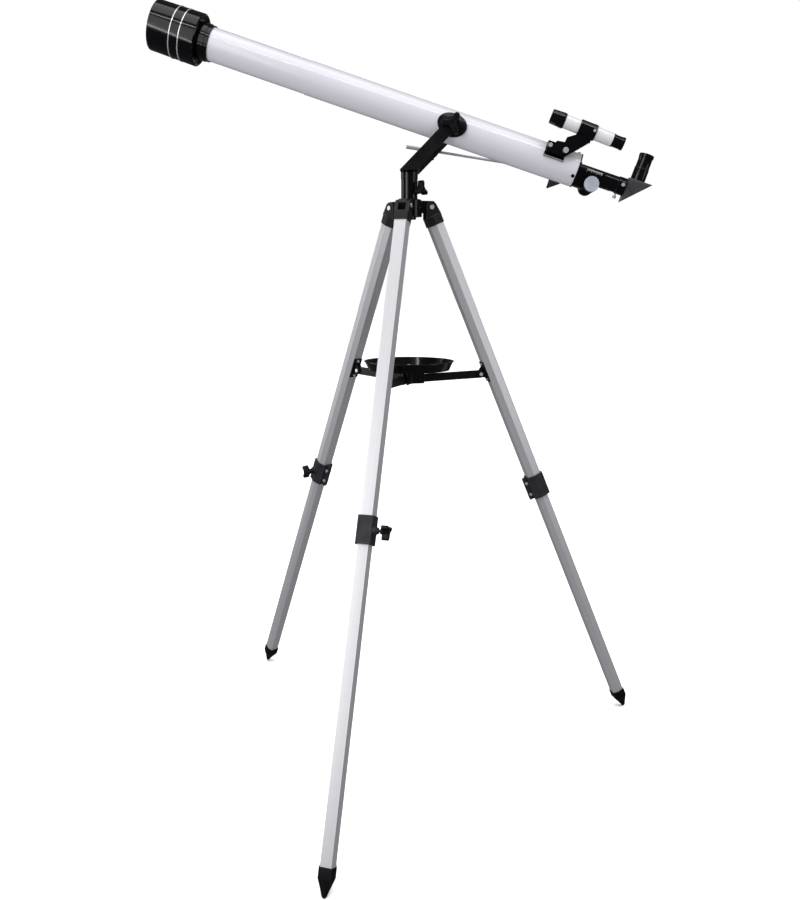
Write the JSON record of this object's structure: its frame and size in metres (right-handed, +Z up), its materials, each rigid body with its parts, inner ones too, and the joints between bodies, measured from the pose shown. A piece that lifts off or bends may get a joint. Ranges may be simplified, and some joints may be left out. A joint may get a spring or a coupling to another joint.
{
  "type": "telescope on tripod",
  "caption": "Small refracting telescope with finder, star diagonal and rack focuser on an alt-azimuth fork and a folding, extending tripod with a round accessory tray.",
  "frame": {"origin": "the vertical azimuth axis where it meets the floor", "axes": "+Z up along the azimuth axis; the tube lies in the XZ plane with its eyepiece end towards +X and its objective towards -X; -Y is the side of the finder"},
  "size_m": [1.0582, 0.929, 1.5863],
  "materials": {
    "white_gloss_paint": "gloss",
    "black_gloss_plastic": "gloss",
    "black_plastic": "satin moulded",
    "black_metal": "satin",
    "steel": "polished",
    "grey_plastic": "satin moulded",
    "glass": "coated",
    "leg_aluminium": "satin anodised"
  },
  "bodies": {
    "tripod_head": {"tripod_hub": "black_plastic", "leg_hinge_pins": "steel"},
    "azimuth_lock": {"azimuth_lock_knob": "black_plastic"},
    "mount": {"azimuth_post": "black_metal", "fork": "black_metal"},
    "tube": {"trunnion_saddles": "black_metal", "tube_screws": "black_metal", "rod_bracket": "grey_plastic", "front_tube": "white_gloss_paint", "rear_tube": "white_gloss_paint", "objective_cell": "black_gloss_plastic", "objective_lens": "glass", "dew_shield": "black_gloss_plastic", "focuser_body": "black_gloss_plastic", "finder_bracket": "black_gloss_plastic", "finder_tube": "white_gloss_paint", "finder_ends": "black_gloss_plastic", "finder_screws": "steel"},
    "altitude_lock_near": {"altitude_knob_near": "black_plastic"},
    "altitude_lock_far": {"altitude_knob_far": "black_plastic"},
    "slow_motion_rod": {"altitude_rod": "steel"},
    "slow_motion_clamp": {"rod_clamp": "black_metal"},
    "focuser_drawtube": {"drawtube": "black_gloss_plastic", "drawtube_thumbscrews": "steel"},
    "focuser_shaft": {"focus_shaft": "steel", "focus_knobs": "black_gloss_plastic"},
    "star_diagonal": {"diagonal_housing": "grey_plastic", "diagonal_prism": "glass"},
    "eyepiece_unit": {"eyepiece": "black_gloss_plastic", "eyepiece_lens": "glass"},
    "spreader": {"spreader_hub": "black_metal", "tray": "black_plastic", "tray_screw": "black_plastic"},
    "leg_front": {"leg_socket_front": "black_plastic", "upper_leg_front": "leg_aluminium", "leg_clamp_front": "black_plastic", "leg_fasteners_front": "steel", "spreader_bracket_front": "black_plastic"},
    "leg_lock_front": {"clamp_knob_front": "black_plastic"},
    "lower_leg_front": {"lower_leg_front": "leg_aluminium", "foot_front": "black_plastic"},
    "arm_front": {"spreader_arm_front": "black_metal"},
    "leg_right": {"leg_socket_right": "black_plastic", "upper_leg_right": "leg_aluminium", "leg_clamp_right": "black_plastic", "leg_fasteners_right": "steel", "spreader_bracket_right": "black_plastic"},
    "leg_lock_right": {"clamp_knob_right": "black_plastic"},
    "lower_leg_right": {"lower_leg_right": "leg_aluminium", "foot_right": "black_plastic"},
    "arm_right": {"spreader_arm_right": "black_metal"},
    "leg_left": {"leg_socket_left": "black_plastic", "upper_leg_left": "leg_aluminium", "leg_clamp_left": "black_plastic", "leg_fasteners_left": "steel", "spreader_bracket_left": "black_plastic"},
    "leg_lock_left": {"clamp_knob_left": "black_plastic"},
    "lower_leg_left": {"lower_leg_left": "leg_aluminium", "foot_left": "black_plastic"},
    "arm_left": {"spreader_arm_left": "black_metal"}
  },
  "joints": [
    {"name": "azimuth", "type": "hinge", "parent": "tripod_head", "child": "mount", "pos_m": [0, 0, 1.24026], "axis": [0, 0, 1], "continuous": true},
    {"name": "azimuth_lock_turn", "type": "hinge", "parent": "tripod_head", "child": "azimuth_lock", "pos_m": [0, 0, 1.21926], "axis": [0.788, -0.6157, 0], "continuous": true},
    {"name": "altitude", "type": "hinge", "parent": "mount", "child": "tube", "pos_m": [0.086, 0, 1.34], "axis": [0, 1, 0], "range_deg": [-18, 25]},
    {"name": "altitude_lock_near_turn", "type": "hinge", "parent": "tube", "child": "altitude_lock_near", "pos_m": [0.086, 0, 1.34], "axis": [0, -1, 0], "continuous": true},
    {"name": "altitude_lock_far_turn", "type": "hinge", "parent": "tube", "child": "altitude_lock_far", "pos_m": [0.086, 0, 1.34], "axis": [0, 1, 0], "continuous": true},
    {"name": "rod_pivot", "type": "hinge", "parent": "tube", "child": "slow_motion_rod", "pos_m": [0.30429, 0.05, 1.26126], "axis": [0, 1, 0], "range_deg": [-6, 6]},
    {"name": "clamp_swivel", "type": "hinge", "parent": "mount", "child": "slow_motion_clamp", "pos_m": [0.04773, 0.05, 1.30202], "axis": [0, 1, 0], "range_deg": [-20, 25]},
    {"name": "focus_travel", "type": "slide", "parent": "tube", "child": "focuser_drawtube", "axis": [0.9478, 0, -0.319], "range_m": [-0.033, 0.045]},
    {"name": "focus_knob_turn", "type": "hinge", "parent": "tube", "child": "focuser_shaft", "pos_m": [0.36268, 0, 1.22473], "axis": [0, 1, 0], "range_deg": [-398.9, 542.1]},
    {"name": "diagonal_turn", "type": "hinge", "parent": "focuser_drawtube", "child": "star_diagonal", "pos_m": [0.4362, 0, 1.22214], "axis": [0.9478, 0, -0.319], "continuous": true},
    {"name": "eyepiece_pull", "type": "slide", "parent": "star_diagonal", "child": "eyepiece_unit", "axis": [0.319, 0, 0.9478], "range_m": [0, 0.03]},
    {"name": "spreader_rise", "type": "slide", "parent": "tripod_head", "child": "spreader", "axis": [0, 0, 1], "range_m": [-0.001, 0.0789]},
    {"name": "leg_front_fold", "type": "hinge", "parent": "tripod_head", "child": "leg_front", "pos_m": [-0.0096, -0.04294, 1.18526], "axis": [0.9759, -0.2181, 0], "range_deg": [0, 3]},
    {"name": "leg_front_slide", "type": "slide", "parent": "leg_front", "child": "lower_leg_front", "axis": [-0.0865, -0.3868, -0.9181], "range_m": [-0.54, 0]},
    {"name": "leg_front_lock_turn", "type": "hinge", "parent": "leg_front", "child": "leg_lock_front", "pos_m": [-0.0672, -0.30065, 0.58365], "axis": [0.9759, -0.2181, 0], "continuous": true},
    {"name": "arm_front_swing", "type": "hinge", "parent": "leg_front", "child": "arm_front", "pos_m": [-0.03514, -0.15719, 0.83737], "axis": [0.9759, -0.2181, 0], "range_deg": [-1, 33.56]},
    {"name": "leg_right_fold", "type": "hinge", "parent": "tripod_head", "child": "leg_right", "pos_m": [0.04199, 0.01316, 1.18526], "axis": [-0.299, 0.9542, 0], "range_deg": [0, 3]},
    {"name": "leg_right_slide", "type": "slide", "parent": "leg_right", "child": "lower_leg_right", "axis": [0.3782, 0.1185, -0.9181], "range_m": [-0.54, 0]},
    {"name": "leg_right_lock_turn", "type": "hinge", "parent": "leg_right", "child": "leg_lock_right", "pos_m": [0.29397, 0.09213, 0.58365], "axis": [-0.299, 0.9542, 0], "continuous": true},
    {"name": "arm_right_swing", "type": "hinge", "parent": "leg_right", "child": "arm_right", "pos_m": [0.1537, 0.04817, 0.83737], "axis": [-0.299, 0.9542, 0], "range_deg": [-1, 33.56]},
    {"name": "leg_left_fold", "type": "hinge", "parent": "tripod_head", "child": "leg_left", "pos_m": [-0.03239, 0.02978, 1.18526], "axis": [-0.6769, -0.7361, 0], "range_deg": [0, 3]},
    {"name": "leg_left_slide", "type": "slide", "parent": "leg_left", "child": "lower_leg_left", "axis": [-0.2917, 0.2683, -0.9181], "range_m": [-0.54, 0]},
    {"name": "leg_left_lock_turn", "type": "hinge", "parent": "leg_left", "child": "leg_lock_left", "pos_m": [-0.22677, 0.20853, 0.58365], "axis": [-0.6769, -0.7361, 0], "continuous": true},
    {"name": "arm_left_swing", "type": "hinge", "parent": "leg_left", "child": "arm_left", "pos_m": [-0.11857, 0.10903, 0.83737], "axis": [-0.6769, -0.7361, 0], "range_deg": [-1, 33.56]}
  ],
  "couplings": [
    {"joint": "rod_pivot", "follows": "altitude", "ratio": -0.1127},
    {"joint": "clamp_swivel", "follows": "altitude", "ratio": 0.8873},
    {"joint": "focus_knob_turn", "follows": "focus_travel", "rad_per_m": 208.33},
    {"joint": "spreader_rise", "follows": "leg_front_fold", "m_per_rad": 1.4695},
    {"joint": "arm_front_swing", "follows": "leg_front_fold", "ratio": 10.855},
    {"joint": "leg_right_fold", "follows": "leg_front_fold", "ratio": 1},
    {"joint": "arm_right_swing", "follows": "leg_front_fold", "ratio": 10.855},
    {"joint": "leg_left_fold", "follows": "leg_front_fold", "ratio": 1},
    {"joint": "arm_left_swing", "follows": "leg_front_fold", "ratio": 10.855}
  ]
}
